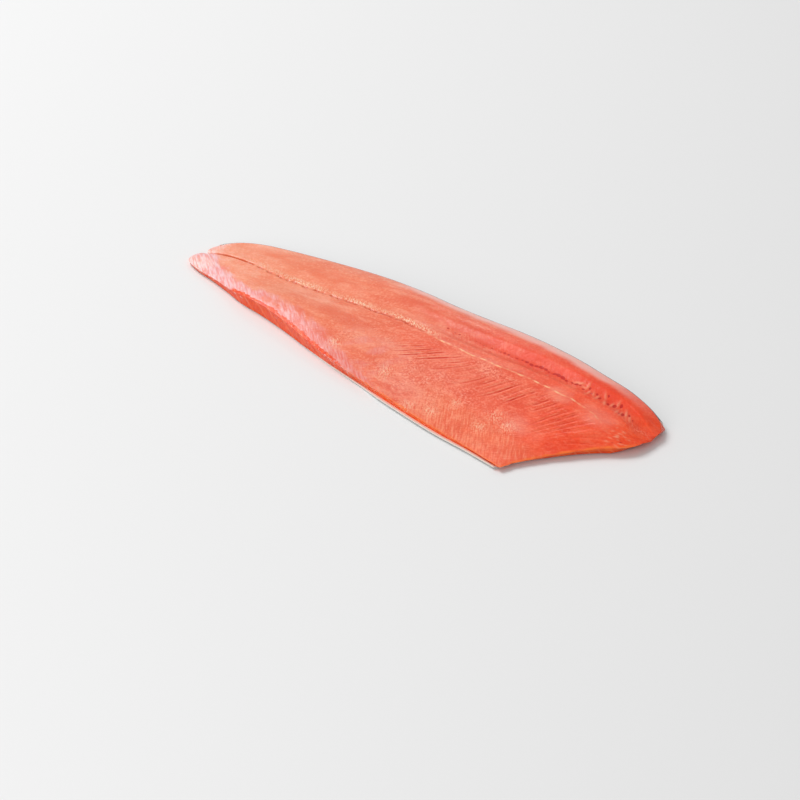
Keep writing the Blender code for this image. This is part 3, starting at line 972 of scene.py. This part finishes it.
def is_hidden(face, cut):
    """Whether a face belongs to the flat middle of the underside, which the skin covers."""
    return face.normal.z < FLAT_NORMAL and all(vert[cut] == 1 for vert in face.verts)


def roughen_walls(bm, cut):
    """Tear the cut walls a little: fibres along them, and an uneven outline."""
    bm.normal_update()
    moves = []
    for vert in bm.verts:
        depth = vert[cut]
        if 0 < depth < 1:
            p = vert.co / MM
            fibre_place = Vector([c / size for c, size in zip(p, WALL_FIBRE)])
            lump_place = Vector([c / size for c, size in zip(p, WALL_LUMP)])
            lump_place.z += WALL_LUMP_PLACE
            height = WALL_FIBRE_RELIEF * noise.noise(fibre_place)
            height = height + WALL_LUMP_RELIEF * noise.noise(lump_place) - WALL_INSET
            moves.append((vert, vert.normal * MM * height))
    for vert, move in moves:
        vert.co += move


def new_piece(name, bm, node_name, material):
    """Make a mesh object of a bmesh that rides on the body and stands for a node of the part."""
    mesh = bpy.data.meshes.new(name)
    bm.to_mesh(mesh)
    bm.free()
    mesh.shade_smooth()
    mesh.set_sharp_from_angle(angle=SHARP_ANGLE)
    mesh.materials.append(material)
    piece = bpy.data.objects.new(name, mesh)
    bpy.context.scene.collection.objects.link(piece)
    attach(piece, "root")
    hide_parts(node_name)
    return piece


def make_skin():
    """The skin: one sheet, thickened outwards, from the belly edge round to the lip on the back."""
    belly = np.linspace(-1, 0, SKIN_FLAT_COLUMNS)
    back = np.linspace(0, ROUND_START, SKIN_INNER_COLUMNS)[1:]
    turn = np.linspace(ROUND_START, 1, SKIN_ROUND_COLUMNS)[1:]
    q = np.concatenate((belly, back, turn))[None, :]
    u = (np.arange(SKIN_ROWS + 1) / SKIN_ROWS)[:, None] * (1 - SKIN_HEAD_INSET / fillet_length())
    bm = bmesh.new()
    layers = {name: bm.verts.layers.float.new(name) for name in ("height", "belly", "edge")}
    tuck = SKIN_TUCK * (1 - rise(belly_point(u)[0], SKIN_TUCK_UNTIL, SKIN_TUCK_FADE))
    columns = q.shape[1] - 1
    for outer, depth in ((0, skin_thickness(u)), (1, 0.0 * u)):
        x, y, z = under_surface(u, q, depth, tuck)
        x = x - SKIN_TAIL_REACH * np.maximum(0.0, 1 - from_tail(u) / TAIL_BOW_REACH)
        verts, index = sheet(bm, SKIN_ROWS, columns, to_frame((x, y, z)))
        height = np.clip((q - ROUND_START) / (1 - ROUND_START), 0, 1)
        store(verts, index, layers["height"], height + 0 * u)
        store(verts, index, layers["belly"], np.clip(-q, 0, 1) + 0 * u)
        for vert in verts:
            vert[layers["edge"]] = 1 - outer
    rims = [edge for edge in bm.edges if edge.is_boundary]
    bmesh.ops.bridge_loops(bm, edges=rims)
    bmesh.ops.recalc_face_normals(bm, faces=bm.faces[:])
    return new_piece("skin_detail", bm, "skin", salmon_skin())


def linear(code):
    """An sRGB hex colour as linear RGBA."""
    parts = [int(code[i:i + 2], 16) / 255 for i in (1, 3, 5)]
    return (*[c / 12.92 if c <= 0.04045 else ((c + 0.055) / 1.055) ** 2.4 for c in parts], 1)


def add(tree, kind, inputs, **settings):
    """Add a node with its settings, and give each named input a value or another node's output."""
    made = tree.nodes.new("ShaderNode" + kind)
    for key, value in settings.items():
        setattr(made, key, value)
    for socket, value in inputs.items():
        if isinstance(value, bpy.types.NodeSocket):
            tree.links.new(value, made.inputs[socket])
        else:
            made.inputs[socket].default_value = value
    return made


def calc(tree, operation, *values):
    """The result of one operation on one or two values."""
    return add(tree, "Math", dict(enumerate(values)), operation=operation).outputs[0]


def mix(tree, share, *colors):
    """The first colour with the second over it, by a share from 0 to 1. Each may be a hex code."""
    base, top = (linear(color) if isinstance(color, str) else color for color in colors)
    return add(tree, "Mix", {0: share, 6: base, 7: top}, data_type="RGBA").outputs[2]


def stored(tree, name):
    """The values that the mesh holds under a name."""
    return add(tree, "Attribute", {}, attribute_name=name).outputs["Fac"]


def set_inputs(shader, settings):
    for name, value in settings.items():
        shader.inputs[name].default_value = value


def new_material(name):
    material = bpy.data.materials.new(name)
    material.use_nodes = True
    tree = material.node_tree
    shader = tree.nodes["Principled BSDF"]
    place = add(tree, "TexCoord", {}).outputs["Object"]
    mm = add(tree, "VectorMath", {0: place, "Scale": 1000}, operation="SCALE").outputs[0]
    return material, tree, shader, mm


def raw_salmon_flesh(names):
    """Raw salmon muscle, freshly cut: moist and translucent, so light bleeds in red-orange."""
    material, tree, shader, mm = new_material("raw_salmon_flesh")
    masks = {name: stored(tree, name) for name in names}

    def both(first, second):
        """One share times another."""
        return calc(tree, "MULTIPLY", first, second)

    def mixed(share, limit, base, top):
        """The base colour with the top one over it, by a share from 0 to 1 times a limit."""
        return mix(tree, both(share, limit), base, top)

    def above(value, low, high):
        """Rise from 0 to 1 while the value goes from low to high."""
        return add(tree, "MapRange", {0: value, 1: low, 2: high}).outputs[0]

    def pattern(name):
        """A named pattern of noise, at its size in mm and its turn in the plan."""
        size, turn, detail, distortion = FLESH_PATTERNS[name]
        place = add(tree, "Mapping", {0: mm, 2: (0, 0, radians(turn)), 3: size},
                    vector_type="TEXTURE").outputs[0]
        settings = {"Vector": place, "Scale": 1, "Detail": detail, "Distortion": distortion}
        return add(tree, "TexNoise", settings).outputs[0]

    def graded(codes):
        """A colour that changes along the fillet, at even steps from the tail to the head."""
        ramp = add(tree, "ValToRGB", {0: station})
        for i, code in enumerate(codes):
            place = i / (len(codes) - 1)
            stops = ramp.color_ramp.elements
            stop = stops[-1] if place == 1 else stops[0] if place == 0 else stops.new(place)
            stop.color = linear(code)
        return ramp.outputs[0]

    def textured(base, mask, share, *layers):
        """The base colour with layers (low, high, limit, colour) of a pattern over it in a mask."""
        for low, high, limit, top in layers:
            base = mixed(mask, 1, base, mixed(above(share, low, high), limit, base, top))
        return base

    # Paler and more orange at the tail, deeper red towards the head
    split = add(tree, "SeparateXYZ", {0: mm})
    station = above(split.outputs[0], FLESH_TAIL, FLESH_HEAD)
    deep, darkest, pale = graded(DEEP_STOPS), graded(DARK_STOPS), graded(PALE_STOPS)
    color = graded(FLESH_STOPS)

    # Slow mottling of the muscle, the streaks of its fibres, blotches drawn out along the fish,
    # wet specks, and finer fibres, as (share, low, high, limit, colour)
    mottle, blotches = pattern("mottle"), pattern("blotches")
    specks, fibre = pattern("specks"), pattern("fibre")
    for share, low, high, limit, top in (
        (mottle, 0.5, 0.36, 0.35, deep), (mottle, 0.52, 0.68, 0.3, pale),
        (masks["streak"], 0.47, 0.08, 0.6, deep), (masks["streak"], 0.53, 0.95, 0.5, pale),
        (blotches, 0.5, 0.34, 0.35, deep), (blotches, 0.52, 0.7, 0.3, pale),
        (specks, 0.52, 0.7, 0.3, pale), (specks, 0.46, 0.3, 0.3, deep),
        (fibre, 0.5, 0.3, 0.3, deep),
    ):
        color = mixed(above(share, low, high), limit, color, top)

    # Broken wet flakes where the surface is rough, with painted glints on them and painted shade
    # between them, and strokes across the pin-bone line
    flakes = pattern("flakes")
    color = textured(color, masks["rough"], flakes,
                     (0.52, 0.66, 0.6, "#FFB49C"), (0.48, 0.34, 0.65, "#D23A22"))
    color = textured(color, masks["pin_zone"], pattern("strokes"),
                     (0.52, 0.68, 0.25, "#FF9C70"), (0.5, 0.34, 0.6, "#E63C1A"))

    # Grooves between the ribs, painted dark as their shade, each with a painted highlight beside it
    from_groove = calc(tree, "PINGPONG", masks["rib_count"], 0.5)
    groove = both(above(from_groove, 0.16, 0.05), masks["rib_depth"])
    beside = both(above(from_groove, 0.13, 0.2), above(from_groove, 0.34, 0.22))
    edge = both(beside, masks["rib_depth"])
    color = mixed(edge, 0.8, color, pale)

    # Redder and paler places of the muscle
    color = mixed(masks["redder"], 0.75, color, deep)
    color = mixed(masks["paler"], 0.3, color, "#FFB8A0")

    # Saturated places with painted shade in the trough and the tear's gaps, the fanned strands of the
    # corner, and the painted sheen along the back
    # Painted shade in the trough and in the tear's gaps; the head cut and two spots more saturated
    color = mixed(masks["saturation_and_shade"], 0.65, color, "#FA421A")
    color = mixed(masks["corner"], 0.2, color, "#FF9C64")
    color = textured(color, masks["corner"], pattern("hair"),
                     (0.52, 0.66, 0.3, "#FFAE88"), (0.49, 0.34, 0.5, "#E8481E"))
    # Painted pink sheen along the back
    color = mixed(masks["back_sheen"], 0.9, color, "#FBBAAE")

    # The membrane with its strands and its painted pink sheen, the blotches that show through it, and
    # the whitish lobe tips
    strands = calc(tree, "ADD", pattern("fine strands"), masks["strands"])
    membrane_and_sheen = mixed(above(strands, 0.75, 1.25), 1, graded(FILM_DEEP_STOPS), graded(FILM_PALE_STOPS))
    color = mixed(masks["membrane_and_sheen"], 0.85, color, membrane_and_sheen)
    color = mixed(masks["blotch"], 0.75, color, deep)
    tip = mixed(above(strands, 0.7, 1.15), 1, "#F4A99C", "#FBDAD6")

    # Cream septum, pale flecks, then painted shade in the creases, grooves and pits
    from_middle = calc(tree, "ABSOLUTE", masks["middle_off"])
    color = mixed(both(above(from_middle, 0.8, 0.3), masks["septum"]), 0.8, color, "#FFC898")
    comb = pattern("comb")
    color = mixed(both(above(comb, 0.48, 0.58), masks["fleck"]), 0.9, color, "#FFD9B6")
    color = mixed(both(above(comb, 0.46, 0.36), masks["fleck"]), 0.35, color, deep)
    # Painted light on the upright and torn flakes, and the pale crest line
    color = mixed(masks["pale"], 0.7, color, "#FFB48E")
    # Painted shade in the rib grooves
    color = mixed(groove, 1, color, "#D22E14")
    # Painted shade in the crease, along the pin-bone line, in the pits and in the tear's gaps
    color = mixed(both(above(from_middle, 1.3, 0.6), masks["crease"]), 0.95, color, darkest)
    from_pins = calc(tree, "ABSOLUTE", masks["pin_off"])
    color = mixed(both(above(from_pins, 0.9, 0.35), masks["pin"]), 0.6, color, darkest)
    color = mixed(above(masks["dark"], 0.4, 0.8), 0.9, color, "#C41200")

    # The saturated cut wall, with the ends of the muscle's blocks about 18 mm apart, under the
    # ragged edge of the membrane
    wall = mixed(above(fibre, 0.3, 0.65), 1, "#E23200", "#F85600")
    blocks = add(tree, "TexWave", {"Vector": mm, "Scale": 0.057, "Distortion": 3, "Detail": 2},
                 bands_direction="DIAGONAL").outputs[0]
    wall = mixed(above(blocks, 0.86, 1), 0.25, wall, "#FFA276")
    spill = both(above(pattern("blobs"), 0.5, 0.64), 0.3)
    ragged = calc(tree, "SUBTRACT", calc(tree, "MAXIMUM", masks["cut"], masks["rim"]), spill)
    color = mixed(above(ragged, 0.02, 0.09), 0.97, color, wall)
    # A lighter orange line along the belly edge, and a painted highlight along the head cut
    color = mixed(masks["orange_line_and_highlight"], 0.75, color, "#FF7A2C")
    color = mixed(masks["tip"], 0.85, color, tip)
    tree.links.new(color, shader.inputs["Base Color"])

    # Fine relief: fibres everywhere, flakes where the surface is torn
    height = calc(tree, "ADD", fibre, both(flakes, masks["rough"]))
    bump = add(tree, "Bump", {"Height": height, "Strength": 0.6, "Distance": 0.0004}).outputs[0]
    tree.links.new(bump, shader.inputs["Normal"])
    tree.links.new(bump, shader.inputs["Coat Normal"])
    set_inputs(shader, FLESH_SHADER)
    return material


def salmon_skin():
    """Wet scaled fish skin: slate blue at the back, silver on the flank, off-white at the belly."""
    material, tree, shader, mm = new_material("salmon_skin")
    height, belly, edge = (stored(tree, name) for name in ("height", "belly", "edge"))
    upper = add(tree, "MapRange", {0: height, 1: 0.1, 2: 0.75}, interpolation_type="SMOOTHSTEP")
    color = mix(tree, upper.outputs[0], "#C9CCCD", "#4D5657")
    lower = add(tree, "MapRange", {0: belly, 1: 0.3, 2: 0.85}, interpolation_type="SMOOTHSTEP")
    color = mix(tree, lower.outputs[0], color, "#FBF8F3")

    # Scales about 3 mm across, longer along the fish
    size = (SCALE_LENGTH, SCALE_WIDTH, SCALE_WIDTH)
    scale_place = add(tree, "Mapping", {0: mm, 3: [1 / mm_size for mm_size in size]}).outputs[0]
    scales = add(tree, "TexVoronoi", {"Vector": scale_place, "Scale": 1, "Randomness": 0.45})
    rim = add(tree, "MapRange", {0: scales.outputs["Distance"], 1: 0.25, 2: 0.6}).outputs[0]
    color = mix(tree, calc(tree, "MULTIPLY", rim, 0.22), color, "#A9B0B2")
    inner = add(tree, "MapRange", {0: edge, 1: 0.05, 2: 0.4}).outputs[0]
    color = mix(tree, inner, color, "#F3DCD0")
    tree.links.new(color, shader.inputs["Base Color"])
    bump = add(tree, "Bump", {"Height": scales.outputs["Distance"], "Strength": 0.5,
                              "Distance": 0.0003}, invert=True).outputs[0]
    tree.links.new(bump, shader.inputs["Normal"])
    set_inputs(shader, SKIN_SHADER)
    return material


def make_camera():
    data = bpy.data.cameras.new("camera")
    data.lens = CAMERA_LENS
    data.sensor_width = SENSOR
    data.clip_start = CAMERA_CLIP
    camera = bpy.data.objects.new("camera", data)
    back = -Vector(CAMERA_AIM).normalized()
    up = Vector(CAMERA_UP).normalized()
    right = up.cross(back)
    turn = Matrix((right, up, back)).transposed().to_4x4()
    camera.matrix_world = Matrix.Translation(CAMERA_PLACE) @ turn
    bpy.context.scene.collection.objects.link(camera)
    bpy.context.scene.camera = camera


def make_light(name, place, size, power):
    """A soft square light at a place, turned to the fillet."""
    data = bpy.data.lights.new(name, "AREA")
    data.size = size
    data.energy = power
    light = bpy.data.objects.new(name, data)
    light.location = place
    light.rotation_euler = (-Vector(place)).to_track_quat("-Z", "Y").to_euler()
    bpy.context.scene.collection.objects.link(light)


def make_floor():
    mesh = bpy.data.meshes.new("floor")
    bm = bmesh.new()
    bmesh.ops.create_grid(bm, x_segments=1, y_segments=1, size=FLOOR_SIZE)
    bm.to_mesh(mesh)
    bm.free()
    material = bpy.data.materials.new("pale_floor")
    material.use_nodes = True
    shader = material.node_tree.nodes["Principled BSDF"]
    set_inputs(shader, {"Base Color": linear("#E8E8E8"), "Roughness": 0.7})
    mesh.materials.append(material)
    floor = bpy.data.objects.new("floor", mesh)
    floor.location.z = -FLOOR_DROP
    bpy.context.scene.collection.objects.link(floor)


def make_studio():
    world = bpy.data.worlds.new("studio")
    world.use_nodes = True
    background = world.node_tree.nodes["Background"]
    background.inputs["Color"].default_value = (1, 1, 1, 1)
    background.inputs["Strength"].default_value = EVEN_LIGHT
    bpy.context.scene.world = world
    bpy.context.scene.view_settings.view_transform = "Standard"
    for name, place, size, power in LIGHTS:
        make_light(name, place, size, power)


make_camera()
make_studio()
make_floor()
make_flesh()
make_skin()
